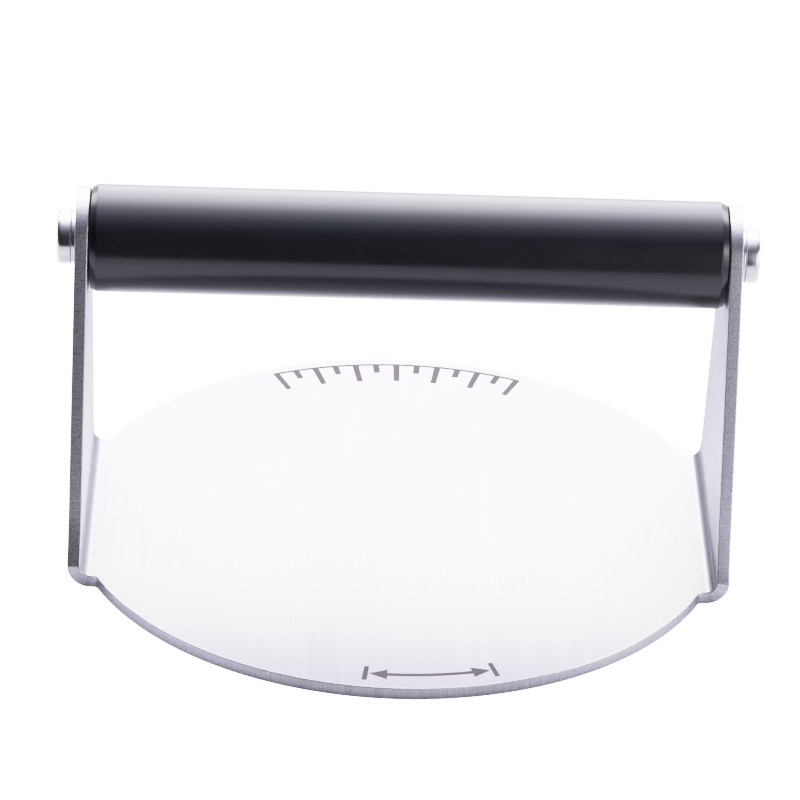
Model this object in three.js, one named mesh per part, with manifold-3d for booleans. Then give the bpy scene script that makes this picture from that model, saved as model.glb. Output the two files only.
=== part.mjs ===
// Patty press: a round steel pressing plate whose two upturned ears carry a turning grip.
// Millimetres. The origin is the centre of the plate's underside, +X runs along the grip,
// +Y runs towards the back and +Z points up.

import * as THREE from 'three';
import { mergeVertices } from 'three/addons/utils/BufferGeometryUtils.js';
import Module from 'manifold-3d';

const wasm = await Module();
wasm.setup();

// ---- Driving dimensions ----

const PLATE_RADIUS = 70;
const SHEET_THICKNESS = 2.7;
const CLEARANCE = 0.3;

const BEND_INNER_RADIUS = 2.3;
const EAR_OUTER_X = 69.7;
const EAR_LEAN_DEGREES = 0.35;
const EAR_TAPER_DEGREES = 15;
const EAR_END_RADIUS = 10.6;
const TAB_HALF_WIDTH = 29.4;
const TAB_CORNER_RADIUS = 0.6;
const FLARE_KNEE_HEIGHT = 8.5;
const FLARE_TOP_HEIGHT = 16;

const GRIP_HEIGHT = 67.6;
const GRIP_RADIUS = 11.25;
const GRIP_BORE_RADIUS = 8.5;
const GRIP_CHAMFER_LENGTH = 1.3;
const GRIP_CHAMFER_DEPTH = 0.6;

const SPINDLE_RADIUS = 6;
const SPINDLE_CHAMFER = 0.5;
const THREAD_RADIUS = 3;
const THREAD_DEPTH = 17;
const DRILL_POINT_DEPTH = 1.7;

const BUSH_LENGTH = 12;
const BUSH_CHAMFER = 0.4;

const WASHER_RADIUS = 5.45;
const WASHER_THICKNESS = 0.8;
const WASHER_CHAMFER = 0.15;

const SCREW_HEAD_RADIUS = 5.6;
const SCREW_HEAD_HEIGHT = 2.6;
const SCREW_HEAD_ROUNDING = 0.8;
const SCREW_THREAD_ENGAGEMENT = 14;
const SCREW_TIP_CHAMFER = 0.6;
const SOCKET_ACROSS_FLATS = 4;
const SOCKET_DEPTH = 1.9;

const RIM_SEGMENTS = 72;
const BEND_SEGMENTS = 8;
const EAR_SEGMENTS = 14;
const ROUNDING_SEGMENTS = 4;
const GRIP_SEGMENTS = 80;
const SMALL_ROUND_SEGMENTS = 40;
const HOLE_SEGMENTS = 32;

// ---- Derived dimensions ----

const BEND_OUTER_RADIUS = BEND_INNER_RADIUS + SHEET_THICKNESS;
const BEND_CENTRE_X = EAR_OUTER_X - BEND_OUTER_RADIUS;
const EAR_LEAN = THREE.MathUtils.degToRad(EAR_LEAN_DEGREES);
const EAR_TAPER = THREE.MathUtils.degToRad(EAR_TAPER_DEGREES);
const EAR_OUTER_AT_GRIP = EAR_OUTER_X - (GRIP_HEIGHT - BEND_OUTER_RADIUS) * Math.tan(EAR_LEAN);
const EAR_INNER_AT_GRIP = EAR_OUTER_AT_GRIP - SHEET_THICKNESS;
const LEAN_OVER_EAR_END = EAR_END_RADIUS * Math.tan(EAR_LEAN);
const GRIP_END_X = EAR_INNER_AT_GRIP - LEAN_OVER_EAR_END - CLEARANCE;
const BUSH_RADIUS = GRIP_BORE_RADIUS - CLEARANCE;
const BUSH_BORE_RADIUS = SPINDLE_RADIUS + CLEARANCE;
const HOLE_RADIUS = THREAD_RADIUS + CLEARANCE;
const WASHER_INNER_X = EAR_OUTER_AT_GRIP + CLEARANCE;
const HEAD_INNER_X = WASHER_INNER_X + WASHER_THICKNESS + CLEARANCE;
const SCREW_TIP_X = GRIP_END_X - SCREW_THREAD_ENGAGEMENT;
const BLANK_MARGIN = 5;

// ---- Materials ----

const brushedSteel = new THREE.MeshStandardMaterial({ color: 0xd6d6da, roughness: 0.32, metalness: 1 });
const blackPlastic = new THREE.MeshStandardMaterial({ color: 0x17181c, roughness: 0.34, metalness: 0 });
const turnedSteel = new THREE.MeshStandardMaterial({ color: 0xb4b6ba, roughness: 0.38, metalness: 1 });
const palePlastic = new THREE.MeshStandardMaterial({ color: 0xe6e2d8, roughness: 0.5, metalness: 0 });
const brightZinc = new THREE.MeshStandardMaterial({ color: 0xdddcd8, roughness: 0.16, metalness: 1 });

// ---- Solid helpers ----

// A closed geometry becomes a solid that can be joined and cut.
function toSolid(geometry) {
  const bare = geometry.clone();
  bare.deleteAttribute('normal');
  bare.deleteAttribute('uv');
  const merged = mergeVertices(bare);
  const vertProperties = new Float32Array(merged.attributes.position.array);
  const triVerts = new Uint32Array(merged.index.array);
  return new wasm.Manifold(new wasm.Mesh({ numProp: 3, vertProperties, triVerts }));
}

function toGeometry(solid) {
  const mesh = solid.getMesh();
  const geometry = new THREE.BufferGeometry();
  geometry.setAttribute('position', new THREE.BufferAttribute(mesh.vertProperties, 3));
  geometry.setIndex(new THREE.BufferAttribute(mesh.triVerts, 1));
  geometry.computeVertexNormals();
  return geometry;
}

// Outlines are drawn flat and extruded. Each basis says where the outline's two axes and its depth go.
const STANDING_ACROSS_X = new THREE.Matrix4().makeBasis(
  new THREE.Vector3(0, 1, 0),
  new THREE.Vector3(0, 0, 1),
  new THREE.Vector3(1, 0, 0),
);
const STANDING_ACROSS_Y = new THREE.Matrix4().makeBasis(
  new THREE.Vector3(1, 0, 0),
  new THREE.Vector3(0, 0, 1),
  new THREE.Vector3(0, -1, 0),
);

function centredPrism(outline, depth, curveSegments, basis) {
  const geometry = new THREE.ExtrudeGeometry(outline, { depth, curveSegments, bevelEnabled: false });
  geometry.translate(0, 0, -depth / 2);
  if (basis) {
    geometry.applyMatrix4(basis);
  }
  return geometry;
}

// A profile of [x along the axis, radius] points turns about the X axis.
function turned(profile, segments) {
  const points = profile.map(([x, radius]) => new THREE.Vector2(radius, -x));
  return new THREE.LatheGeometry(points, segments).rotateZ(Math.PI / 2);
}

// ---- Pressing plate: one sheet, cut round with two tapered tabs, and bent up at both sides ----

// The sheet seen along Y: the flat base, two bends and two ears that lean slightly inwards.
function channelOutline() {
  const leftLean = -Math.PI - EAR_LEAN;
  const down = -Math.PI / 2;
  const earTopZ = GRIP_HEIGHT + EAR_END_RADIUS + BLANK_MARGIN;
  const innerTopX = EAR_INNER_AT_GRIP - (earTopZ - GRIP_HEIGHT) * Math.tan(EAR_LEAN);
  const outerTopX = innerTopX + SHEET_THICKNESS;
  const outline = new THREE.Shape();
  outline.absarc(BEND_CENTRE_X, BEND_OUTER_RADIUS, BEND_OUTER_RADIUS, down, EAR_LEAN, false);
  outline.lineTo(outerTopX, earTopZ);
  outline.lineTo(innerTopX, earTopZ);
  outline.absarc(BEND_CENTRE_X, BEND_OUTER_RADIUS, BEND_INNER_RADIUS, EAR_LEAN, down, true);
  outline.absarc(-BEND_CENTRE_X, BEND_OUTER_RADIUS, BEND_INNER_RADIUS, down, leftLean, true);
  outline.lineTo(-innerTopX, earTopZ);
  outline.lineTo(-outerTopX, earTopZ);
  outline.absarc(-BEND_CENTRE_X, BEND_OUTER_RADIUS, BEND_OUTER_RADIUS, leftLean, down, false);
  return outline;
}

// The sheet seen from above: a disc with a straight-sided tab at each side.
function planOutline() {
  const reach = EAR_OUTER_X + BLANK_MARGIN;
  const cornerAngle = Math.asin(TAB_HALF_WIDTH / PLATE_RADIUS);
  const cornerX = PLATE_RADIUS * Math.cos(cornerAngle);
  const rimAngle = cornerAngle + TAB_CORNER_RADIUS / PLATE_RADIUS;
  const rimX = PLATE_RADIUS * Math.cos(rimAngle);
  const rimY = PLATE_RADIUS * Math.sin(rimAngle);
  const outline = new THREE.Shape();
  outline.moveTo(reach, -TAB_HALF_WIDTH);
  for (const side of [1, -1]) {
    outline.lineTo(side * reach, -side * TAB_HALF_WIDTH);
    outline.lineTo(side * reach, side * TAB_HALF_WIDTH);
    outline.lineTo(side * (cornerX + TAB_CORNER_RADIUS), side * TAB_HALF_WIDTH);
    outline.quadraticCurveTo(side * cornerX, side * TAB_HALF_WIDTH, side * rimX, side * rimY);
    const start = side > 0 ? rimAngle : Math.PI + rimAngle;
    const end = side > 0 ? Math.PI - rimAngle : 2 * Math.PI - rimAngle;
    outline.absarc(0, 0, PLATE_RADIUS, start, end, false);
    outline.quadraticCurveTo(
      -side * cornerX, side * TAB_HALF_WIDTH,
      -side * (cornerX + TAB_CORNER_RADIUS), side * TAB_HALF_WIDTH,
    );
  }
  return outline;
}

// The sheet seen along X: the base's full width, then an ear that flares out of the tab, tapers
// straight and ends in an arc about the grip's axis.
function earOutline() {
  const tangentY = EAR_END_RADIUS * Math.cos(EAR_TAPER);
  const tangentZ = GRIP_HEIGHT + EAR_END_RADIUS * Math.sin(EAR_TAPER);
  const halfWidthAt = (z) => tangentY + (tangentZ - z) * Math.tan(EAR_TAPER);
  const base = PLATE_RADIUS + BLANK_MARGIN;
  const outline = new THREE.Shape();
  outline.moveTo(-base, -BLANK_MARGIN);
  outline.lineTo(base, -BLANK_MARGIN);
  outline.lineTo(base, BEND_OUTER_RADIUS);
  outline.lineTo(TAB_HALF_WIDTH, BEND_OUTER_RADIUS);
  outline.quadraticCurveTo(
    halfWidthAt(FLARE_KNEE_HEIGHT), FLARE_KNEE_HEIGHT,
    halfWidthAt(FLARE_TOP_HEIGHT), FLARE_TOP_HEIGHT,
  );
  outline.lineTo(tangentY, tangentZ);
  outline.absarc(0, GRIP_HEIGHT, EAR_END_RADIUS, EAR_TAPER, Math.PI - EAR_TAPER, false);
  outline.lineTo(-halfWidthAt(FLARE_TOP_HEIGHT), FLARE_TOP_HEIGHT);
  outline.quadraticCurveTo(
    -halfWidthAt(FLARE_KNEE_HEIGHT), FLARE_KNEE_HEIGHT,
    -TAB_HALF_WIDTH, BEND_OUTER_RADIUS,
  );
  outline.lineTo(-base, BEND_OUTER_RADIUS);
  return outline;
}

function pressPlateGeometry() {
  const blankWidth = 2 * (PLATE_RADIUS + BLANK_MARGIN);
  const blankHeight = 2 * (GRIP_HEIGHT + 2 * EAR_END_RADIUS + BLANK_MARGIN);
  const bentSheet = toSolid(centredPrism(channelOutline(), blankWidth, BEND_SEGMENTS, STANDING_ACROSS_Y));
  const plan = toSolid(centredPrism(planOutline(), blankHeight, RIM_SEGMENTS));
  const ears = toSolid(centredPrism(earOutline(), blankWidth, EAR_SEGMENTS, STANDING_ACROSS_X));
  const drill = new THREE.CylinderGeometry(HOLE_RADIUS, HOLE_RADIUS, blankWidth, HOLE_SEGMENTS);
  drill.rotateZ(Math.PI / 2).translate(0, 0, GRIP_HEIGHT);
  return toGeometry(bentSheet.intersect(plan).intersect(ears).subtract(toSolid(drill)));
}

// ---- Grip, bushes and spindle ----

function gripGeometry() {
  const outline = [
    [GRIP_END_X, GRIP_BORE_RADIUS],
    [GRIP_END_X, GRIP_RADIUS - GRIP_CHAMFER_DEPTH],
    [GRIP_END_X - GRIP_CHAMFER_LENGTH, GRIP_RADIUS],
    [-GRIP_END_X + GRIP_CHAMFER_LENGTH, GRIP_RADIUS],
    [-GRIP_END_X, GRIP_RADIUS - GRIP_CHAMFER_DEPTH],
    [-GRIP_END_X, GRIP_BORE_RADIUS],
    [GRIP_END_X, GRIP_BORE_RADIUS],
  ];
  return turned(outline, GRIP_SEGMENTS);
}

// A bush's origin is its outer end, and the bush runs inwards along -X.
function bushGeometry() {
  const outline = [
    [0, BUSH_BORE_RADIUS],
    [0, BUSH_RADIUS - BUSH_CHAMFER],
    [-BUSH_CHAMFER, BUSH_RADIUS],
    [BUSH_CHAMFER - BUSH_LENGTH, BUSH_RADIUS],
    [-BUSH_LENGTH, BUSH_RADIUS - BUSH_CHAMFER],
    [-BUSH_LENGTH, BUSH_BORE_RADIUS],
    [0, BUSH_BORE_RADIUS],
  ];
  return turned(outline, SMALL_ROUND_SEGMENTS);
}

// The spindle has a threaded blind hole with a drilled point in each end.
function spindleGeometry() {
  const threadEndX = GRIP_END_X - THREAD_DEPTH;
  const holeEndX = threadEndX - DRILL_POINT_DEPTH;
  const outline = [
    [holeEndX, 0],
    [threadEndX, HOLE_RADIUS],
    [GRIP_END_X, HOLE_RADIUS],
    [GRIP_END_X, SPINDLE_RADIUS - SPINDLE_CHAMFER],
    [GRIP_END_X - SPINDLE_CHAMFER, SPINDLE_RADIUS],
    [-GRIP_END_X + SPINDLE_CHAMFER, SPINDLE_RADIUS],
    [-GRIP_END_X, SPINDLE_RADIUS - SPINDLE_CHAMFER],
    [-GRIP_END_X, HOLE_RADIUS],
    [-threadEndX, HOLE_RADIUS],
    [-holeEndX, 0],
  ];
  return turned(outline, SMALL_ROUND_SEGMENTS);
}

// ---- Fasteners, each drawn for the +X end ----

function washerGeometry() {
  const outline = [
    [0, HOLE_RADIUS],
    [WASHER_THICKNESS, HOLE_RADIUS],
    [WASHER_THICKNESS, WASHER_RADIUS - WASHER_CHAMFER],
    [WASHER_THICKNESS - WASHER_CHAMFER, WASHER_RADIUS],
    [WASHER_CHAMFER, WASHER_RADIUS],
    [0, WASHER_RADIUS - WASHER_CHAMFER],
    [0, HOLE_RADIUS],
  ];
  return turned(outline, SMALL_ROUND_SEGMENTS);
}

// A screw's origin is the underside of its head, and the shank runs inwards along -X.
function screwGeometry() {
  const tipX = SCREW_TIP_X - HEAD_INNER_X;
  const roundingCentreX = SCREW_HEAD_HEIGHT - SCREW_HEAD_ROUNDING;
  const roundingCentreRadius = SCREW_HEAD_RADIUS - SCREW_HEAD_ROUNDING;
  const outline = [
    [SCREW_HEAD_HEIGHT, 0],
  ];
  for (let step = 0; step <= ROUNDING_SEGMENTS; step += 1) {
    const angle = (step / ROUNDING_SEGMENTS) * (Math.PI / 2);
    outline.push([
      roundingCentreX + SCREW_HEAD_ROUNDING * Math.cos(angle),
      roundingCentreRadius + SCREW_HEAD_ROUNDING * Math.sin(angle),
    ]);
  }
  outline.push(
    [0, SCREW_HEAD_RADIUS],
    [0, THREAD_RADIUS],
    [tipX + SCREW_TIP_CHAMFER, THREAD_RADIUS],
    [tipX, THREAD_RADIUS - SCREW_TIP_CHAMFER],
    [tipX, 0],
  );
  const socketRadius = SOCKET_ACROSS_FLATS / 2 / Math.cos(Math.PI / 6);
  const socket = new THREE.CylinderGeometry(socketRadius, socketRadius, 2 * SOCKET_DEPTH, 6);
  socket.rotateZ(Math.PI / 2).translate(SCREW_HEAD_HEIGHT, 0, 0);
  return toGeometry(toSolid(turned(outline, SMALL_ROUND_SEGMENTS)).subtract(toSolid(socket)));
}

// ---- Assembly ----

const press = new THREE.Group();

function add(parent, name, geometry, material) {
  const mesh = new THREE.Mesh(geometry, material);
  mesh.name = name;
  parent.add(mesh);
  return mesh;
}

add(press, 'press_plate', pressPlateGeometry(), brushedSteel);

const handleAxis = new THREE.Group();
handleAxis.position.z = GRIP_HEIGHT;
press.add(handleAxis);

add(handleAxis, 'grip', gripGeometry(), blackPlastic);
add(handleAxis, 'spindle', spindleGeometry(), turnedSteel);

for (const end of [{ name: 'left', turn: Math.PI }, { name: 'right', turn: 0 }]) {
  const side = new THREE.Group();
  side.rotation.z = end.turn;
  handleAxis.add(side);
  add(side, `${end.name}_bush`, bushGeometry(), palePlastic).position.x = GRIP_END_X;
  add(side, `${end.name}_washer`, washerGeometry(), brightZinc).position.x = WASHER_INNER_X;
  add(side, `${end.name}_screw`, screwGeometry(), brightZinc).position.x = HEAD_INNER_X;
}

export default press;
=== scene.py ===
"""A patty press: one bent sheet of steel whose two ears carry a round black grip between them."""

import math

import bmesh
import bpy
from mathutils import Matrix, Quaternion, Vector


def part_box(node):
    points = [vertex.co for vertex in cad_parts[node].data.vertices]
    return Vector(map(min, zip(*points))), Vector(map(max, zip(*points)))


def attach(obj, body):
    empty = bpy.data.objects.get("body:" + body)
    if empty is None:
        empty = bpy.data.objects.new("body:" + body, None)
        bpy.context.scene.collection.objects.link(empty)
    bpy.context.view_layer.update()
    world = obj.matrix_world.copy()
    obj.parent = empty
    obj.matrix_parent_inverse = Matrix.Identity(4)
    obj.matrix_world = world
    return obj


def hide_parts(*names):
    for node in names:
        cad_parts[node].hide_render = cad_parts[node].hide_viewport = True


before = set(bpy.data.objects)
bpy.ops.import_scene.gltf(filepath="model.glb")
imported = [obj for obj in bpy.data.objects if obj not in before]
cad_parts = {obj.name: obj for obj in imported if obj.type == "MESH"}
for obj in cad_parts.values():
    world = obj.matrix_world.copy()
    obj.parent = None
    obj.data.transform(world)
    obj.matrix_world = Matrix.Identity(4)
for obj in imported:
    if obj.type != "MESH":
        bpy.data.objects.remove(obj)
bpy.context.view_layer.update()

MM = 0.001

# ---- Sizes read from the frame, in metres ----

plate_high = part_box("press_plate")[1]
grip_low, grip_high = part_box("grip")
bush_low, bush_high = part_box("right_bush")
spindle_low, spindle_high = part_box("spindle")
washer_low, washer_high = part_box("right_washer")
screw_low, screw_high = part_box("right_screw")

PLATE_RADIUS = plate_high.y
EAR_OUTER_X = plate_high.x
AXIS_Z = (grip_low.z + grip_high.z) / 2
EAR_END_RADIUS = plate_high.z - AXIS_Z
GRIP_RADIUS = (grip_high.z - grip_low.z) / 2
GRIP_END_X = grip_high.x
BUSH_RADIUS = (bush_high.z - bush_low.z) / 2
SPINDLE_RADIUS = (spindle_high.z - spindle_low.z) / 2
WASHER_RADIUS = (washer_high.z - washer_low.z) / 2
HEAD_RADIUS = (screw_high.z - screw_low.z) / 2

# ---- Sizes that a box doesn't show, in metres ----

SHEET_THICKNESS = 2.7 * MM
BEND_INNER_RADIUS = 2.3 * MM
BEND_OUTER_RADIUS = BEND_INNER_RADIUS + SHEET_THICKNESS
BEND_START_X = EAR_OUTER_X - BEND_OUTER_RADIUS
EAR_LEAN = math.radians(0.35)
EAR_TAPER = math.radians(15)
TAB_HALF_WIDTH = 29.4 * MM
TAB_CORNER_RADIUS = 0.6 * MM
FLARE_KNEE_Z = 8.5 * MM
FLARE_TOP_Z = 16 * MM
SCREW_HOLE_RADIUS = 3.3 * MM

GRIP_BORE_RADIUS = 8.5 * MM
GRIP_CHAMFER_LENGTH = 1.3 * MM
GRIP_CHAMFER_DEPTH = 0.6 * MM
BUSH_BORE_RADIUS = 6.3 * MM
SPINDLE_HOLE_DEPTH = 17 * MM
DRILL_POINT_DEPTH = 1.7 * MM
THREAD_RADIUS = 3 * MM
SOCKET_ACROSS_FLATS = 4 * MM
SOCKET_DEPTH = 1.9 * MM
SOCKET_LEAD_IN = 0.2 * MM

# How far back each kind of edge is rounded.
SHEET_EDGE_ROUNDING = 0.24 * MM
GRIP_BORE_ROUNDING = 0.3 * MM
GRIP_RIM_ROUNDING = 0.12 * MM
GRIP_CHAMFER_ROUNDING = 0.15 * MM
SPINDLE_BORE_ROUNDING = 0.3 * MM
SPINDLE_END_ROUNDING = 0.5 * MM
BUSH_BORE_ROUNDING = 0.2 * MM
BUSH_OUTER_ROUNDING = 0.4 * MM
WASHER_ROUNDING = 0.1 * MM
WASHER_OUTER_ROUNDING = 0.25 * MM
SCREW_TIP_ROUNDING = 0.6 * MM
SCREW_NECK_ROUNDING = 0.2 * MM
HEAD_SEAT_ROUNDING = 0.15 * MM
HEAD_TOP_ROUNDING = 0.9 * MM

EAR_OUTER_AT_AXIS = EAR_OUTER_X - (AXIS_Z - BEND_OUTER_RADIUS) * math.tan(EAR_LEAN)
WASHER_INNER_X = EAR_OUTER_AT_AXIS + WASHER_RADIUS * math.tan(EAR_LEAN)
WASHER_OUTER_X = washer_high.x
HEAD_OUTER_X = screw_high.x

# ---- Smoothness ----

ROUND_SEGMENTS = 96
GRIP_SEGMENTS = 160
RIM_STEPS = 72
EAR_END_STEPS = 24
FLARE_STEPS = 12
TAB_CORNER_STEPS = 6
HOLE_STEPS = 64
ROUNDING_STEPS = 4
BEND_STEPS = 18
FLAT_ANGLE = 0.01
CUT_TOLERANCE = 1e-7
NORMAL_WEIGHT = 100

# The UV map that says where a point of the bent sheet was before bending.
FLAT_SHEET_MAP = "flat_sheet"


# ---- Mesh helpers ----

def add_mesh(name, mesh, body, node, materials):
    """Makes the object, which rides on its body and stands for its CAD node."""
    for material in materials:
        mesh.materials.append(material)
    piece = bpy.data.objects.new(name, mesh)
    bpy.context.scene.collection.objects.link(piece)
    soften = piece.modifiers.new("weighted_normals", "WEIGHTED_NORMAL")
    soften.mode = "FACE_AREA"
    soften.weight = NORMAL_WEIGHT
    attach(piece, body)
    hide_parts(node)
    return piece


def curve_points(start, control, end, steps):
    """A quadratic curve from start to end, both included."""
    points = []
    for step in range(steps + 1):
        t = step / steps
        points.append((1 - t) ** 2 * start + 2 * t * (1 - t) * control + t ** 2 * end)
    return points


def arc_points(centre, radius, start, end, steps):
    points = []
    for step in range(steps + 1):
        angle = start + (end - start) * step / steps
        points.append(centre + radius * Vector((math.cos(angle), math.sin(angle))))
    return points


def rounded(corners, closed):
    """Corners (x, y, rounding) become a line whose corners are rounded that far back."""
    line = []
    count = len(corners)
    for index, (x, y, rounding) in enumerate(corners):
        corner = Vector((x, y))
        at_end = index in (0, count - 1) and not closed
        if rounding == 0 or at_end:
            line.append(corner)
            continue
        before = Vector(corners[index - 1][:2])
        after = Vector(corners[(index + 1) % count][:2])
        start = corner + (before - corner).normalized() * rounding
        end = corner + (after - corner).normalized() * rounding
        line.extend(curve_points(start, corner, end, ROUNDING_STEPS))
    return line


def circle_ring(x, radius, segments):
    ring = []
    for index in range(segments):
        angle = 2 * math.pi * index / segments
        ring.append(Vector((x, radius * math.cos(angle), AXIS_Z + radius * math.sin(angle))))
    return ring


def hexagon_ring(x, across_flats, segments):
    """A ring with as many points as a round one, along a hexagon."""
    ring = []
    sector = math.pi / 3
    for index in range(segments):
        angle = 2 * math.pi * index / segments
        off_flat = (angle + sector / 2) % sector - sector / 2
        radius = across_flats / 2 / math.cos(off_flat)
        ring.append(Vector((x, radius * math.cos(angle), AXIS_Z + radius * math.sin(angle))))
    return ring


def skin_mesh(name, rings, closed):
    """Joins rings of points with faces. A ring of one point is the pole of a closed end."""
    shape = bmesh.new()
    rows = [[shape.verts.new(point) for point in ring] for ring in rings]
    pairs = list(zip(rows, rows[1:]))
    if closed:
        pairs.append((rows[-1], rows[0]))
    for first, second in pairs:
        count = max(len(first), len(second))
        for index in range(count):
            following = (index + 1) % count
            if len(first) == 1:
                shape.faces.new((first[0], second[following], second[index]))
            elif len(second) == 1:
                shape.faces.new((first[index], first[following], second[0]))
            else:
                corners = (first[index], first[following], second[following], second[index])
                shape.faces.new(corners)
    bmesh.ops.recalc_face_normals(shape, faces=shape.faces)
    for face in shape.faces:
        face.smooth = True
    mesh = bpy.data.meshes.new(name)
    shape.to_mesh(mesh)
    shape.free()
    return mesh


def turned_rings(line, segments):
    """The rings of a line of (x, radius) points turned about the grip's axis."""
    rings = []
    for x, radius in line:
        if radius == 0:
            rings.append([Vector((x, 0, AXIS_Z))])
        else:
            rings.append(circle_ring(x, radius, segments))
    return rings


def turned_mesh(name, line, segments, closed):
    return skin_mesh(name, turned_rings(line, segments), closed)


# ---- The bent sheet ----

BEND_SWEEP = math.pi / 2 + EAR_LEAN
BEND_LENGTH = BEND_SWEEP * (BEND_INNER_RADIUS + BEND_OUTER_RADIUS) / 2
EAR_START_RUN = BEND_START_X + BEND_LENGTH


def ear_run(z):
    """How far along the flat sheet a height on the ear is."""
    return EAR_START_RUN + (z - BEND_OUTER_RADIUS) / math.cos(EAR_LEAN)


def blank_outline():
    """The outline of the flat sheet before bending, counter-clockwise, as (run, y) points."""
    end_centre = Vector((ear_run(AXIS_Z), 0))
    tangent_y = EAR_END_RADIUS * math.cos(EAR_TAPER)
    tangent_z = AXIS_Z + EAR_END_RADIUS * math.sin(EAR_TAPER)

    def side(z):
        return Vector((ear_run(z), tangent_y + (tangent_z - z) * math.tan(EAR_TAPER)))

    corner_angle = math.asin(TAB_HALF_WIDTH / PLATE_RADIUS)
    rim_angle = corner_angle + TAB_CORNER_RADIUS / PLATE_RADIUS
    corner = Vector((PLATE_RADIUS * math.cos(corner_angle), TAB_HALF_WIDTH))
    rim = PLATE_RADIUS * Vector((math.cos(rim_angle), math.sin(rim_angle)))
    tab_end = Vector((EAR_START_RUN, TAB_HALF_WIDTH))
    corner_start = corner + Vector((TAB_CORNER_RADIUS, 0))

    quarter = arc_points(end_centre, EAR_END_RADIUS, 0, math.pi / 2 - EAR_TAPER, EAR_END_STEPS)
    quarter += curve_points(side(FLARE_TOP_Z), side(FLARE_KNEE_Z), tab_end, FLARE_STEPS)
    quarter += curve_points(corner_start, corner, rim, TAB_CORNER_STEPS)
    quarter += arc_points(Vector((0, 0)), PLATE_RADIUS, rim_angle, math.pi / 2, RIM_STEPS)[1:]
    half = quarter + [Vector((-p.x, p.y)) for p in reversed(quarter[:-1])]
    return half + [-p for p in half[1:-1]]


def inset_line(line, inset):
    """A closed counter-clockwise line moved inwards."""
    moved = []
    for index, point in enumerate(line):
        before = (point - line[index - 1]).normalized()
        after = (line[(index + 1) % len(line)] - point).normalized()
        inward = Vector((-before.y - after.y, before.x + after.x)).normalized()
        widening = 1 / max(0.5, inward.dot(Vector((-before.y, before.x))))
        moved.append(point + inward * inset * widening)
    return moved


def hole_outline(centre_run):
    """A screw hole's outline, clockwise, so that inwards is into the steel."""
    circle = arc_points(Vector((centre_run, 0)), SCREW_HOLE_RADIUS, 0, -2 * math.pi, HOLE_STEPS)
    return circle[:-1]


def edge_profile():
    """(inset, height) across the sheet's edge, from the underside to the top."""
    rounding = SHEET_EDGE_ROUNDING
    low, high = [], []
    for step in range(ROUNDING_STEPS + 1):
        angle = math.pi / 2 * step / ROUNDING_STEPS
        low.append((rounding * (1 - math.sin(angle)), rounding * (1 - math.cos(angle))))
        lift = SHEET_THICKNESS - rounding * (1 - math.sin(angle))
        high.append((rounding * (1 - math.cos(angle)), lift))
    return low + high


def bent(point):
    """Where a point of the flat sheet (run, y, height) is after bending."""
    side = math.copysign(1, point.x)
    run = abs(point.x)
    if run <= BEND_START_X:
        return point.copy()
    radius = BEND_OUTER_RADIUS - point.z
    turn = min(1, (run - BEND_START_X) / BEND_LENGTH) * BEND_SWEEP
    x = BEND_START_X + radius * math.sin(turn)
    z = BEND_OUTER_RADIUS - radius * math.cos(turn)
    beyond = max(0, run - EAR_START_RUN)
    x -= beyond * math.sin(EAR_LEAN)
    z += beyond * math.cos(EAR_LEAN)
    return Vector((side * x, point.y, z))


def edge_band(shape, outline):
    """The cut edge along one outline. Returns its rows of points, from the underside up."""
    rows = []
    for inset, height in edge_profile():
        rows.append([shape.verts.new((p.x, p.y, height)) for p in inset_line(outline, inset)])
    for low, high in zip(rows, rows[1:]):
        for index in range(len(low)):
            following = (index + 1) % len(low)
            corners = (low[index], low[following], high[following], high[index])
            shape.faces.new(corners).material_index = 1
    return rows


def row_edges(shape, row):
    return [shape.edges.get(pair) for pair in zip(row, row[1:] + row[:1])]


def fill_face(shape, edges):
    """Fills one flat face of the sheet, round its holes, with few large polygons."""
    filled = bmesh.ops.triangle_fill(shape, edges=edges, use_beauty=False)["geom"]
    faces = [item for item in filled if isinstance(item, bmesh.types.BMFace)]
    inner = [item for item in filled if isinstance(item, bmesh.types.BMEdge) and item not in edges]
    for face in faces:
        face.material_index = 0
    corners = list({vert for face in faces for vert in face.verts})
    bmesh.ops.dissolve_limit(shape, angle_limit=FLAT_ANGLE, verts=corners, edges=inner)


def cut_at_bends(shape):
    """Cuts the flat sheet across wherever it will be bent a little further."""
    for side in (1, -1):
        for step in range(BEND_STEPS + 1):
            run = side * (BEND_START_X + BEND_LENGTH * step / BEND_STEPS)
            everything = shape.verts[:] + shape.edges[:] + shape.faces[:]
            bmesh.ops.bisect_plane(
                shape, geom=everything, dist=CUT_TOLERANCE, plane_co=(run, 0, 0), plane_no=(1, 0, 0)
            )


def press_plate(face_material, edge_material):
    """The sheet is made flat, mapped, and then bent up at both sides."""
    shape = bmesh.new()
    hole_run = ear_run(AXIS_Z)
    underside, top = [], []
    for outline in (blank_outline(), hole_outline(hole_run), hole_outline(-hole_run)):
        rows = edge_band(shape, outline)
        underside += row_edges(shape, rows[0])
        top += row_edges(shape, rows[-1])
    fill_face(shape, underside)
    fill_face(shape, top)
    cut_at_bends(shape)
    flat_place = shape.loops.layers.uv.new(FLAT_SHEET_MAP)
    for face in shape.faces:
        face.smooth = True
        for loop in face.loops:
            loop[flat_place].uv = loop.vert.co.xy
    for vert in shape.verts:
        vert.co = bent(vert.co)
    bmesh.ops.recalc_face_normals(shape, faces=shape.faces)
    mesh = bpy.data.meshes.new("bent_sheet")
    shape.to_mesh(mesh)
    shape.free()
    materials = [face_material, edge_material]
    return add_mesh("bent_sheet", mesh, "frame", "press_plate", materials)


# ---- Turned pieces ----

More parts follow.
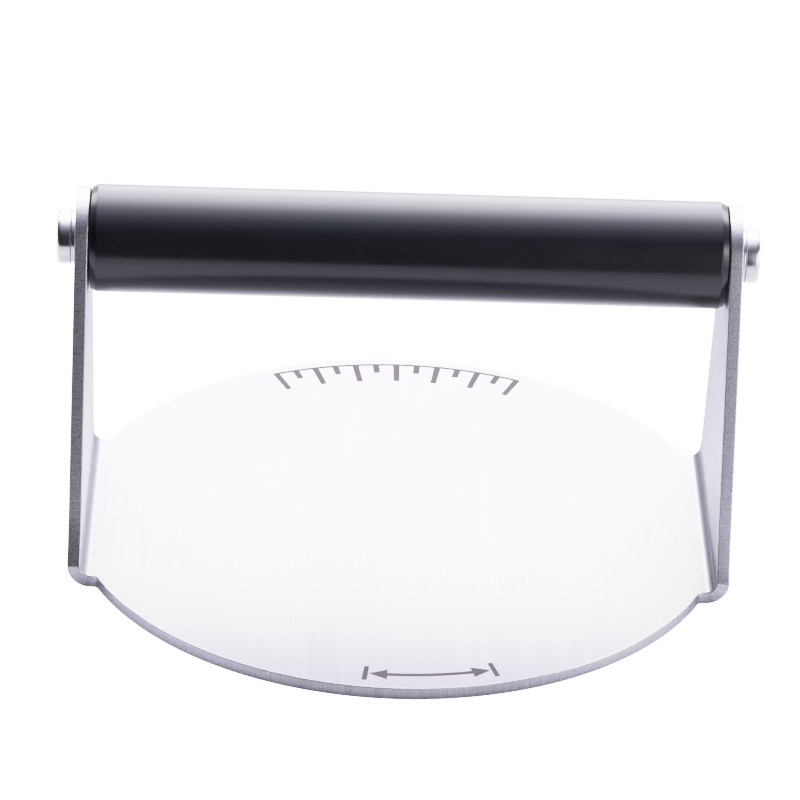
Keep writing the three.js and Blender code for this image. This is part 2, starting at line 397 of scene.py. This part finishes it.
def grip_tube(material):
    straight_x = GRIP_END_X - GRIP_CHAMFER_LENGTH
    rim_radius = GRIP_RADIUS - GRIP_CHAMFER_DEPTH
    corners = []
    for side in (1, -1):
        end = [
            (side * GRIP_END_X, GRIP_BORE_RADIUS, GRIP_BORE_ROUNDING),
            (side * GRIP_END_X, rim_radius, GRIP_RIM_ROUNDING),
            (side * straight_x, GRIP_RADIUS, GRIP_CHAMFER_ROUNDING),
        ]
        corners += end if side > 0 else end[::-1]
    mesh = turned_mesh("grip_tube", rounded(corners, True), GRIP_SEGMENTS, True)
    return add_mesh("grip_tube", mesh, "grip", "grip", [material])


def spindle_rod(material):
    hole_end_x = GRIP_END_X - SPINDLE_HOLE_DEPTH
    half = [
        (hole_end_x - DRILL_POINT_DEPTH, 0, 0),
        (hole_end_x, THREAD_RADIUS, 0),
        (GRIP_END_X, THREAD_RADIUS, SPINDLE_BORE_ROUNDING),
        (GRIP_END_X, SPINDLE_RADIUS, SPINDLE_END_ROUNDING),
    ]
    corners = half + [(-x, radius, rounding) for x, radius, rounding in reversed(half)]
    mesh = turned_mesh("spindle_rod", rounded(corners, False), ROUND_SEGMENTS, False)
    return add_mesh("spindle_rod", mesh, "frame", "spindle", [material])


def to_side(mesh, side):
    """A piece drawn for the right end is turned round to the left one."""
    if side == "left":
        mesh.transform(Matrix.Rotation(math.pi, 4, "Z"))
    return mesh


def bush(side, material):
    inner_x = bush_low.x
    corners = [
        (GRIP_END_X, BUSH_BORE_RADIUS, BUSH_BORE_ROUNDING),
        (GRIP_END_X, BUSH_RADIUS, BUSH_OUTER_ROUNDING),
        (inner_x, BUSH_RADIUS, BUSH_OUTER_ROUNDING),
        (inner_x, BUSH_BORE_RADIUS, BUSH_BORE_ROUNDING),
    ]
    name = f"{side}_sleeve"
    mesh = to_side(turned_mesh(name, rounded(corners, True), ROUND_SEGMENTS, True), side)
    return add_mesh(name, mesh, "grip", f"{side}_bush", [material])


def washer(side, material):
    corners = [
        (WASHER_INNER_X, SCREW_HOLE_RADIUS, WASHER_ROUNDING),
        (WASHER_INNER_X, WASHER_RADIUS, WASHER_ROUNDING),
        (WASHER_OUTER_X, WASHER_RADIUS, WASHER_OUTER_ROUNDING),
        (WASHER_OUTER_X, SCREW_HOLE_RADIUS, WASHER_ROUNDING),
    ]
    name = f"{side}_flat_washer"
    mesh = to_side(turned_mesh(name, rounded(corners, True), ROUND_SEGMENTS, True), side)
    return add_mesh(name, mesh, "frame", f"{side}_washer", [material])


def screw(side, material):
    """A low head with a rounded rim and a hexagon socket, on a plain shank."""
    socket_corner = SOCKET_ACROSS_FLATS / 2 / math.cos(math.pi / 6)
    lead_in_radius = socket_corner + SOCKET_LEAD_IN
    corners = [
        (screw_low.x, 0, 0),
        (screw_low.x, THREAD_RADIUS, SCREW_TIP_ROUNDING),
        (WASHER_OUTER_X, THREAD_RADIUS, SCREW_NECK_ROUNDING),
        (WASHER_OUTER_X, HEAD_RADIUS, HEAD_SEAT_ROUNDING),
        (HEAD_OUTER_X, HEAD_RADIUS, HEAD_TOP_ROUNDING),
        (HEAD_OUTER_X, lead_in_radius, 0),
    ]
    rings = turned_rings(rounded(corners, False), ROUND_SEGMENTS)
    for depth in (SOCKET_LEAD_IN, SOCKET_DEPTH):
        rings.append(hexagon_ring(HEAD_OUTER_X - depth, SOCKET_ACROSS_FLATS, ROUND_SEGMENTS))
    rings.append([Vector((HEAD_OUTER_X - SOCKET_DEPTH - SOCKET_LEAD_IN, 0, AXIS_Z))])
    name = f"{side}_socket_screw"
    mesh = to_side(skin_mesh(name, rings, False), side)
    return add_mesh(name, mesh, "frame", f"{side}_screw", [material])


# ---- Materials ----

class NodeTree:
    """Adds and links nodes in a material's or the world's tree."""

    def __init__(self, tree):
        self.tree = tree

    def node(self, kind, inputs=None, **settings):
        made = self.tree.nodes.new(kind)
        for key, value in settings.items():
            setattr(made, key, value)
        for key, value in (inputs or {}).items():
            self.put(made.inputs[key], value)
        return made

    def put(self, socket, value):
        if isinstance(value, bpy.types.NodeSocket):
            self.tree.links.new(value, socket)
        else:
            socket.default_value = value

    def math(self, operation, first, second=0.0):
        made = self.node("ShaderNodeMath", {0: first, 1: second}, operation=operation)
        return made.outputs[0]

    def product(self, first, *others):
        for other in others:
            first = self.math("MULTIPLY", first, other)
        return first

    def largest(self, first, *others):
        for other in others:
            first = self.math("MAXIMUM", first, other)
        return first

    def away(self, value, from_value=0.0):
        """How far one value is from another, without a sign."""
        return self.math("ABSOLUTE", self.math("SUBTRACT", value, from_value))

    def length(self, first, second):
        return self.math("SQRT", self.math("ADD", self.product(first, first), self.product(second, second)))

    def shared(self, first, share, second):
        """The sum of share of first and the rest of second."""
        return self.math("ADD", self.product(first, share), self.product(second, 1 - share))

    def object_place(self):
        return self.node("ShaderNodeTexCoord").outputs["Object"]

    def split(self, vector):
        return self.node("ShaderNodeSeparateXYZ", {0: vector}).outputs

    def join(self, x, y=0.0):
        return self.node("ShaderNodeCombineXYZ", {0: x, 1: y}).outputs[0]

    def noise(self, vector, stretch, detail=2.0, roughness=0.5):
        """Noise whose grain is about 1/stretch metres long each way."""
        scaled = self.node("ShaderNodeVectorMath", {0: vector, 1: stretch}, operation="MULTIPLY")
        made = self.node(
            "ShaderNodeTexNoise",
            {"Vector": scaled.outputs[0], "Scale": 1.0, "Detail": detail, "Roughness": roughness},
        )
        return made.outputs["Fac"]

    def spread(self, value, low, high, from_low=0.3, from_high=0.7):
        """Brings a value from one range into another, and holds it there. Noise fills 0.3 to 0.7."""
        made = self.node(
            "ShaderNodeMapRange",
            {
                "Value": value,
                "From Min": from_low,
                "From Max": from_high,
                "To Min": low,
                "To Max": high,
            },
        )
        return made.outputs[0]

    def within(self, distance, half_width, softness=0.05 * MM):
        """1 where distance is under half_width, 0 beyond, with a soft edge."""
        low = self.math("SUBTRACT", half_width, softness)
        high = self.math("ADD", half_width, softness)
        return self.spread(distance, 1.0, 0.0, low, high)

    def smooth_step(self, value, low, high):
        """0 where value is under low, 1 over high, smooth between; low may be the larger one."""
        made = self.node(
            "ShaderNodeMapRange",
            {"Value": value, "From Min": low, "From Max": high},
            interpolation_type="SMOOTHSTEP",
        )
        return made.outputs[0]

    def colours(self, factor, first, second):
        made = self.tree.nodes.new("ShaderNodeMix")
        made.data_type = "RGBA"
        self.put(made.inputs["Factor"], factor)
        self.put(made.inputs[6], first)
        self.put(made.inputs[7], second)
        return made.outputs[2]

    def toned(self, noise, first, second):
        """A colour that wanders between two with a noise."""
        return self.colours(self.spread(noise, 0.0, 1.0), first, second)


class Look(NodeTree):
    """A node material whose Principled shader takes constants and linked nodes."""

    def __init__(self, name):
        self.material = bpy.data.materials.new(name)
        self.material.use_nodes = True
        super().__init__(self.material.node_tree)
        self.shader = self.tree.nodes["Principled BSDF"]

    def flat_place(self):
        """Where a point of the bent sheet lies on the flat one."""
        return self.node("ShaderNodeUVMap", uv_map=FLAT_SHEET_MAP).outputs[0]

    def bump(self, height, strength, distance):
        inputs = {"Height": height, "Strength": strength, "Distance": distance}
        return self.node("ShaderNodeBump", inputs).outputs[0]

    def shade(self, **inputs):
        for key, value in inputs.items():
            self.put(self.shader.inputs[key.replace("_", " ")], value)
        return self.material


TICK_SPACING = math.radians(4)
TICK_OUTER_RADIUS = 67.4 * MM
TICK_WIDTH_RADIUS = 64 * MM
TICK_HALF_WIDTH = 0.7 * MM
LONG_TICK_HALF = 3.9 * MM
SHORT_TICK_LESS = 1.9 * MM
ARC_HALF_ANGLE = math.radians(24.6)
ARC_SOFTNESS = 0.001
ARC_LINE_RADIUS = 67.2 * MM
ARC_LINE_HALF_WIDTH = 0.4 * MM


def graduated_arc(look, x, y, radius):
    """Long and short ticks in turn, inside a thin arc near the back rim."""
    angle = look.math("ARCTAN2", x, y)
    steps = look.math("DIVIDE", angle, TICK_SPACING)
    number = look.math("ROUND", steps)
    across = look.product(look.away(steps, number), TICK_SPACING * TICK_WIDTH_RADIUS)
    is_short = look.math("PINGPONG", number, 1.0)
    tick_half = look.math("SUBTRACT", LONG_TICK_HALF, look.product(is_short, SHORT_TICK_LESS))
    along = look.away(radius, look.math("SUBTRACT", TICK_OUTER_RADIUS, tick_half))
    ticks = look.product(look.within(across, TICK_HALF_WIDTH), look.within(along, tick_half))
    line = look.within(look.away(radius, ARC_LINE_RADIUS), ARC_LINE_HALF_WIDTH)
    in_arc = look.within(look.away(angle), ARC_HALF_ANGLE, ARC_SOFTNESS)
    return look.product(look.largest(ticks, line), in_arc)


ARROW_RADIUS = 64.8 * MM
ARROW_TURN = math.radians(5.6)
ARROW_HALF_LENGTH = 12.6 * MM
ARROW_LINE_HALF_WIDTH = 0.5 * MM
SHAFT_HALF_LENGTH = 11 * MM
ARROWHEAD_LENGTH = 3.8 * MM
ARROWHEAD_SLOPE = 0.48
END_BAR_ALONG = 13.3 * MM
END_BAR_HALF_LENGTH = 2.6 * MM


def width_arrow(look, x, y, radius):
    """A double arrow between two short bars, curved along the front rim."""
    angle = look.math("ARCTAN2", look.product(x, -1.0), look.product(y, -1.0))
    turned = look.math("ADD", angle, ARROW_TURN)
    along = look.away(look.product(turned, ARROW_RADIUS))
    across = look.away(radius, ARROW_RADIUS)
    on_shaft_line = look.within(across, ARROW_LINE_HALF_WIDTH)
    shaft = look.product(on_shaft_line, look.within(along, SHAFT_HALF_LENGTH))
    from_tip = look.math("SUBTRACT", ARROW_HALF_LENGTH, along)
    head_half_width = look.product(from_tip, ARROWHEAD_SLOPE)
    in_head_length = look.within(from_tip, ARROWHEAD_LENGTH)
    heads = look.product(look.within(across, head_half_width), in_head_length)
    on_bar_line = look.within(look.away(along, END_BAR_ALONG), ARROW_LINE_HALF_WIDTH)
    bars = look.product(on_bar_line, look.within(across, END_BAR_HALF_LENGTH))
    return look.largest(shaft, heads, bars)


ON_TOP_WITHIN = 0.2 * MM


def etched_marks(look, place):
    """The marks on the plate's top, as a mask."""
    x, y, z = look.split(place)
    radius = look.length(x, y)
    marks = look.largest(graduated_arc(look, x, y, radius), width_arrow(look, x, y, radius))
    on_top = look.within(look.away(z, SHEET_THICKNESS), ON_TOP_WITHIN)
    return look.product(marks, on_top)


# A darker, less rough band over each bend and up the front of the right ear; these numbers set where it
# lies and how strong it is.
BEND_BAND_START = BEND_START_X + 1.2 * MM
BEND_BAND_FULL = BEND_START_X + 1.6 * MM
BEND_BAND_END = EAR_START_RUN + 4 * MM
EAR_BAND_LOW = EAR_START_RUN - 2 * MM
EAR_BAND_HIGH = EAR_START_RUN + 24 * MM
EAR_BAND_BACK = 6 * MM
EAR_BAND_FRONT = -26 * MM
LEFT_BEND_BAND = 0.75
RIGHT_BEND_BAND = 0.96


def bend_darkening(look):
    """Strongest near where each bend starts, fading over it; on the right ear also up the front."""
    flat = look.split(look.flat_place())
    run = look.away(flat[0])
    started = look.smooth_step(run, BEND_BAND_START, BEND_BAND_FULL)
    over_bend = look.smooth_step(run, BEND_BAND_END, BEND_BAND_FULL)
    up_right_ear = look.smooth_step(flat[0], EAR_BAND_HIGH, EAR_BAND_LOW)
    on_right = look.smooth_step(flat[0], 0.0, BEND_START_X)
    to_front = look.smooth_step(flat[1], EAR_BAND_BACK, EAR_BAND_FRONT)
    ear_front_band = look.product(up_right_ear, on_right, to_front)
    strength = look.spread(on_right, LEFT_BEND_BAND, RIGHT_BEND_BAND, 0.0, 1.0)
    return look.product(started, look.largest(over_bend, ear_front_band), strength)


# How often the grain repeats along X, Y and Z, per metre.
FINE_BRUSHING = (7000.0, 60.0, 7000.0)
MEDIUM_BRUSHING = (1600.0, 25.0, 1600.0)
BROAD_BRUSHING = (90.0, 12.0, 90.0)
FRESH_STEEL = ((0.53, 0.53, 0.55, 1), (0.63, 0.63, 0.65, 1))
# The violet grey below is painted shade, which darkens the plate's top towards its front rim.
FRONT_SHADE_STEEL = (0.27, 0.254, 0.293, 1)
# The dark grey of the band over the bends.
BEND_BAND_STEEL = (0.12, 0.118, 0.13, 1)
ETCHED_STEEL = ((0.045, 0.032, 0.034, 1), (0.085, 0.064, 0.066, 1))
# Where the painted shade on the plate's front begins and where it is full, and how strong it gets.
FRONT_SHADE_START_Y = -25 * MM
FRONT_SHADE_FULL_Y = -75 * MM
MOST_FRONT_SHADE = 0.9


def brushed_steel():
    """Brushed along Y, with painted shade darkening it towards the front rim, and darker over the bends."""
    look = Look("brushed_steel_faces")
    place = look.object_place()
    fine = look.noise(place, FINE_BRUSHING, 3.0, 0.6)
    medium = look.noise(place, MEDIUM_BRUSHING)
    broad = look.noise(place, BROAD_BRUSHING)
    grain = look.shared(fine, 0.6, medium)
    fresh = look.toned(look.shared(grain, 0.6, broad), *FRESH_STEEL)
    # Painted shade: the top face darkens towards the front rim.
    front_shade = look.smooth_step(look.split(place)[1], FRONT_SHADE_START_Y, FRONT_SHADE_FULL_Y)
    front_shaded = look.colours(look.product(front_shade, MOST_FRONT_SHADE), fresh, FRONT_SHADE_STEEL)
    # Darker, and less rough, over each bend and up the front of the right ear.
    bend_band = bend_darkening(look)
    steel = look.colours(bend_band, front_shaded, BEND_BAND_STEEL)
    marks = etched_marks(look, place)
    burnt = look.noise(place, (2500.0, 2500.0, 2500.0))
    mark_colour = look.colours(burnt, *ETCHED_STEEL)
    colour = look.colours(marks, steel, mark_colour)
    brushed_roughness = look.spread(grain, 0.46, 0.58)
    steel_roughness = look.math("SUBTRACT", brushed_roughness, look.product(bend_band, 0.14))
    roughness = look.largest(steel_roughness, look.product(marks, 0.6))
    metal = look.math("SUBTRACT", 1.0, marks)
    normal = look.bump(grain, 0.25, 0.01 * MM)
    return look.shade(Base_Color=colour, Roughness=roughness, Metallic=metal, Normal=normal)


ROUGH_CUT = ((0.42, 0.412, 0.41, 1), (0.64, 0.63, 0.63, 1))
# A lighter tone for the cut edge: along the rim at the plate's sides, and low on the right ear, where it is
# a painted highlight.
LIGHTER_CUT = (0.82, 0.81, 0.83, 1)
MOST_LIGHTENING = 0.75
SIDE_LIGHTENING_START_RUN = 15 * MM
SIDE_LIGHTENING_FULL_RUN = 50 * MM
LIGHTENING_EDGE = 1 * MM
LOW_EAR_PAINTED_SHEEN = 0.9
HIGH_EAR_PAINTED_SHEEN = 0.3
HIGH_EAR_RUN = EAR_START_RUN + 45 * MM


def cut_steel():
    """The sheet's cut edge: grainy, but lighter along the plate's sides, and with a painted highlight low
    on the right ear.
    """
    look = Look("cut_steel_edges")
    flat_place = look.flat_place()
    flat_x = look.split(flat_place)[0]
    run = look.away(flat_x)
    to_side = look.smooth_step(run, SIDE_LIGHTENING_START_RUN, SIDE_LIGHTENING_FULL_RUN)
    on_plate = look.smooth_step(run, BEND_START_X + LIGHTENING_EDGE, BEND_START_X - LIGHTENING_EDGE)
    # Low on the right ear the lightening is a painted highlight, fading up the ear.
    on_ear = look.smooth_step(flat_x, EAR_START_RUN - LIGHTENING_EDGE, EAR_START_RUN + LIGHTENING_EDGE)
    painted_ear_sheen = look.spread(flat_x, LOW_EAR_PAINTED_SHEEN, HIGH_EAR_PAINTED_SHEEN, EAR_START_RUN, HIGH_EAR_RUN)
    # Lighter at the plate's sides, and a painted highlight low on the right ear's edge.
    lightening = look.largest(look.product(to_side, on_plate), look.product(on_ear, painted_ear_sheen))
    lines = look.noise(flat_place, (4600.0, 4600.0, 1.0), 3.0, 0.7)
    speckle = look.noise(look.object_place(), (5200.0, 5200.0, 5200.0))
    rough_cut = look.shared(lines, 0.6, speckle)
    contrast = look.spread(rough_cut, 0.0, 1.0, 0.4, 0.6)
    grainy = look.colours(contrast, *ROUGH_CUT)
    colour = look.colours(look.product(lightening, MOST_LIGHTENING), grainy, LIGHTER_CUT)
    roughness = look.spread(speckle, 0.24, 0.36)
    normal = look.bump(rough_cut, 0.45, 0.05 * MM)
    return look.shade(Base_Color=colour, Roughness=roughness, Metallic=1.0, Normal=normal)


BLACK_PLASTIC = ((0.0036, 0.0036, 0.0056, 1), (0.0052, 0.0052, 0.0080, 1))
BRIGHT_ZINC = ((0.72, 0.705, 0.67, 1), (0.82, 0.805, 0.77, 1))
TURNED_STEEL = ((0.42, 0.42, 0.43, 1), (0.56, 0.56, 0.57, 1))
PALE_PLASTIC = ((0.66, 0.63, 0.56, 1), (0.76, 0.73, 0.66, 1))


def black_plastic():
    look = Look("black_satin_grip")
    place = look.object_place()
    grain = look.noise(place, (900.0, 2600.0, 2600.0), 3.0, 0.6)
    handled = look.noise(place, (60.0, 120.0, 120.0), 3.0)
    colour = look.toned(handled, *BLACK_PLASTIC)
    roughness = look.spread(handled, 0.20, 0.23)
    normal = look.bump(grain, 0.05, 0.01 * MM)
    return look.shade(
        Base_Color=colour, Roughness=roughness, Specular_IOR_Level=0.86, Normal=normal
    )


def bright_zinc():
    """Bright plating over turned steel, with fine rings about the screw's axis."""
    look = Look("bright_zinc_fasteners")
    x, y, z = look.split(look.object_place())
    radius = look.length(y, look.math("SUBTRACT", z, AXIS_Z))
    rings = look.noise(look.join(x, radius), (9000.0, 9000.0, 1.0))
    cloud = look.noise(look.object_place(), (500.0, 500.0, 500.0), 3.0)
    colour = look.toned(cloud, *BRIGHT_ZINC)
    roughness = look.spread(cloud, 0.13, 0.21)
    normal = look.bump(rings, 0.3, 0.01 * MM)
    return look.shade(Base_Color=colour, Roughness=roughness, Metallic=1.0, Normal=normal)


def turned_steel():
    """Fine feed lines round the spindle."""
    look = Look("turned_steel_spindle")
    lathe_place = look.join(look.split(look.object_place())[0])
    feed_lines = look.noise(lathe_place, (6000.0, 1.0, 1.0), 3.0)
    colour = look.toned(feed_lines, *TURNED_STEEL)
    roughness = look.spread(feed_lines, 0.30, 0.42)
    normal = look.bump(feed_lines, 0.4, 0.02 * MM)
    return look.shade(Base_Color=colour, Roughness=roughness, Metallic=1.0, Normal=normal)


def pale_plastic():
    look = Look("pale_bush_plastic")
    grain = look.noise(look.object_place(), (1800.0, 1800.0, 1800.0), 3.0)
    colour = look.toned(grain, *PALE_PLASTIC)
    roughness = look.spread(grain, 0.42, 0.56)
    normal = look.bump(grain, 0.2, 0.02 * MM)
    return look.shade(Base_Color=colour, Roughness=roughness, Normal=normal)


# ---- Tone ----

TONE_WHITE = 4.0
TONE_POINTS = ((0.6, 0.6), (1.2, 0.84), (2.2, 0.935))


def tone_curve():
    """A straight response up to the light greys, then a soft shoulder up to TONE_WHITE."""
    settings = bpy.context.scene.view_settings
    settings.view_transform = "Standard"
    settings.use_curve_mapping = True
    mapping = settings.curve_mapping
    mapping.white_level = (TONE_WHITE, TONE_WHITE, TONE_WHITE)
    points = mapping.curves[3].points
    for light, shown in TONE_POINTS:
        points.new(light / TONE_WHITE, shown)
    points[0].handle_type = "VECTOR"
    points[1].handle_type = "VECTOR"
    mapping.update()


# ---- Floor ----

FLOOR_FRONT_Y = -0.25
FLOOR_BACK_Y = 2.4
FLOOR_SIDE_X = 2.4
FLOOR_DARK_Y = -0.24
FLOOR_PALE_Y = 0.06
# The front colour is painted shade: the paper greyed where less light falls on it.
SHADED_FRONT_PAPER = (0.36, 0.355, 0.39, 1)
BACK_PAPER = (0.86, 0.855, 0.89, 1)
MOTTLE = ((0.97, 0.97, 0.97, 1), (1.0, 1.0, 1.0, 1))


def paper_look():
    """Pale paper with painted shade greying it towards the front; the camera itself sees plain white."""
    look = Look("pale_floor")
    place = look.object_place()
    soft = look.noise(place, (6.0, 6.0, 6.0))
    # Painted shade: the paper greys towards the front.
    towards_back = look.smooth_step(look.split(place)[1], FLOOR_DARK_Y, FLOOR_PALE_Y)
    mottle = look.colours(soft, *MOTTLE)
    paper = look.colours(towards_back, SHADED_FRONT_PAPER, BACK_PAPER)
    tinted = look.node("ShaderNodeVectorMath", {0: mottle, 1: paper}, operation="MULTIPLY")
    material = look.shade(Base_Color=tinted.outputs[0], Roughness=0.9)
    seen = look.node("ShaderNodeLightPath").outputs["Is Camera Ray"]
    bright = look.node("ShaderNodeEmission", {"Strength": TONE_WHITE}).outputs[0]
    pick = look.node("ShaderNodeMixShader", {0: seen, 1: look.shader.outputs[0], 2: bright})
    look.put(look.tree.nodes["Material Output"].inputs["Surface"], pick.outputs[0])
    return material


def pale_floor():
    corners = [
        (-FLOOR_SIDE_X, FLOOR_FRONT_Y, 0),
        (FLOOR_SIDE_X, FLOOR_FRONT_Y, 0),
        (FLOOR_SIDE_X, FLOOR_BACK_Y, 0),
        (-FLOOR_SIDE_X, FLOOR_BACK_Y, 0),
    ]
    shape = bmesh.new()
    shape.faces.new([shape.verts.new(corner) for corner in corners])
    mesh = bpy.data.meshes.new("floor")
    shape.to_mesh(mesh)
    shape.free()
    mesh.materials.append(paper_look())
    floor = bpy.data.objects.new("floor", mesh)
    bpy.context.scene.collection.objects.link(floor)


# ---- Light ----

# The light high behind the object: (cosine of the turn away from its axis, tone there).
BACK_GLOW = (
    (-1.0, (0.003, 0.003, 0.004)),
    (-0.44, (0.004, 0.004, 0.005)),
    (-0.12, (0.014, 0.014, 0.019)),
    (0.05, (0.028, 0.028, 0.039)),
    (0.39, (0.088, 0.088, 0.118)),
    (0.56, (0.19, 0.19, 0.24)),
    (0.71, (0.30, 0.30, 0.36)),
    (0.83, (0.62, 0.61, 0.71)),
    (0.94, (0.90, 0.885, 0.99)),
    (1.0, (1.0, 0.985, 1.06)),
)
BACK_GLOW_STRENGTH = 7.0
BACK_GLOW_ELEVATION = math.radians(40)
BACK_GLOW_ASIDE = 0.10
BACK_GLOW_NARROWING = 0.4


SIDE_ROOM_COLOUR = (0.84, 0.84, 1.0, 1)
SIDE_ROOM_STRENGTH = 2.4
SOFTBOX_COLOUR = (0.95, 0.97, 1.0, 1)
SOFTBOX_STRENGTH = 6.0
HIGH_LIGHT_COLOUR = (1, 1, 1, 1)
HIGH_LIGHT_STRENGTH = 5.0


def background(world, colour, strength):
    return world.node("ShaderNodeBackground", {"Color": colour, "Strength": strength}).outputs[0]


def back_glow(world, direction):
    """A soft light high behind the object, narrower from side to side."""
    up = math.sin(BACK_GLOW_ELEVATION)
    back = math.cos(BACK_GLOW_ELEVATION)
    axis = Vector((BACK_GLOW_ASIDE, back, up)).normalized()
    facing = world.node("ShaderNodeVectorMath", {0: direction, 1: axis}, operation="DOT_PRODUCT")
    aside = world.away(world.split(direction)[0])
    narrowing = world.product(aside, BACK_GLOW_NARROWING)
    narrowed = world.math("SUBTRACT", facing.outputs["Value"], narrowing)
    share = world.math("DIVIDE", world.math("ADD", narrowed, 1.0), 2.0)
    ramp = world.node("ShaderNodeValToRGB", {"Fac": share})
    elements = ramp.color_ramp.elements
    while len(elements) < len(BACK_GLOW):
        elements.new(0.5)
    for element, (turned_to, tone) in zip(elements, BACK_GLOW):
        element.position = (turned_to + 1) / 2
        element.color = (*tone, 1)
    return background(world, ramp.outputs[0], BACK_GLOW_STRENGTH)


def heading_window(world, direction, headings, softness, top, top_softness):
    """1 between two headings up to a height, else 0. Degrees right of straight in front."""
    x, y, z = world.split(direction)
    heading = world.math("ARCTAN2", x, world.product(y, -1.0))
    start, end = (math.radians(edge) for edge in headings)
    soft = math.radians(softness)
    after = world.smooth_step(heading, start - soft, start + soft)
    before = world.smooth_step(heading, end + soft, end - soft)
    under = world.smooth_step(z, top + top_softness, top - top_softness)
    return world.product(after, before, under)


def side_room(world, direction):
    """The dim bluish room in front, to the right of the camera."""
    level = heading_window(
        world, direction, headings=(11, 36), softness=2, top=0.55, top_softness=0.25
    )
    return background(world, SIDE_ROOM_COLOUR, world.product(level, SIDE_ROOM_STRENGTH))


def side_softbox(world, direction):
    """A low light to the right, a little in front."""
    level = heading_window(
        world, direction, headings=(58, 84), softness=3, top=0.45, top_softness=0.1
    )
    return background(world, SOFTBOX_COLOUR, world.product(level, SOFTBOX_STRENGTH))


def high_side_lights(world, direction):
    """Soft lights behind, high up at the left and the right, which light the floor."""
    x, y, z = world.split(direction)
    aside = world.smooth_step(world.away(x), 0.25, 0.42)
    behind = world.smooth_step(y, 0.30, 0.50)
    above = world.smooth_step(z, 0.30, 0.50)
    level = world.product(aside, above, behind)
    return background(world, HIGH_LIGHT_COLOUR, world.product(level, HIGH_LIGHT_STRENGTH))


def studio_light():
    """Soft lights behind and beside, and a dim room; the camera itself sees plain white."""
    scene_world = bpy.data.worlds.new("studio")
    bpy.context.scene.world = scene_world
    scene_world.use_nodes = True
    world = NodeTree(scene_world.node_tree)
    direction = world.node("ShaderNodeTexCoord").outputs["Generated"]
    light = back_glow(world, direction)
    for more_light in (side_room, side_softbox, high_side_lights):
        extra = more_light(world, direction)
        light = world.node("ShaderNodeAddShader", {0: light, 1: extra}).outputs[0]
    plain = background(world, (1, 1, 1, 1), TONE_WHITE)
    seen = world.node("ShaderNodeLightPath").outputs["Is Camera Ray"]
    pick = world.node("ShaderNodeMixShader", {0: seen, 1: light, 2: plain})
    world.put(world.tree.nodes["World Output"].inputs["Surface"], pick.outputs[0])


# ---- Camera ----

CAMERA_AIM = Vector((-0.516, 0, 30.833)) * MM
CAMERA_DISTANCE = 1.00332
CAMERA_ELEVATION = math.radians(28.979)
CAMERA_HEADING = math.radians(1.419)
CAMERA_ROLL = math.radians(2.297)
CAMERA_NEAREST = 0.05
SENSOR_WIDTH_MM = 36
LENS_MM = 211.96


def place_camera():
    forward = Vector((
        math.sin(CAMERA_HEADING) * math.cos(CAMERA_ELEVATION),
        math.cos(CAMERA_HEADING) * math.cos(CAMERA_ELEVATION),
        -math.sin(CAMERA_ELEVATION),
    ))
    data = bpy.data.cameras.new("camera")
    data.sensor_width = SENSOR_WIDTH_MM
    data.lens = LENS_MM
    data.clip_start = CAMERA_NEAREST
    camera = bpy.data.objects.new("camera", data)
    camera.location = CAMERA_AIM - forward * CAMERA_DISTANCE
    camera.rotation_mode = "QUATERNION"
    level = forward.to_track_quat("-Z", "Y")
    camera.rotation_quaternion = level @ Quaternion((0, 0, 1), CAMERA_ROLL)
    bpy.context.scene.collection.objects.link(camera)
    bpy.context.scene.camera = camera


# ---- Assembly ----

press_plate(brushed_steel(), cut_steel())
grip_tube(black_plastic())
spindle_rod(turned_steel())
bush_look = pale_plastic()
fastener_look = bright_zinc()
for end in ("left", "right"):
    bush(end, bush_look)
    washer(end, fastener_look)
    screw(end, fastener_look)

pale_floor()
studio_light()
place_camera()
tone_curve()
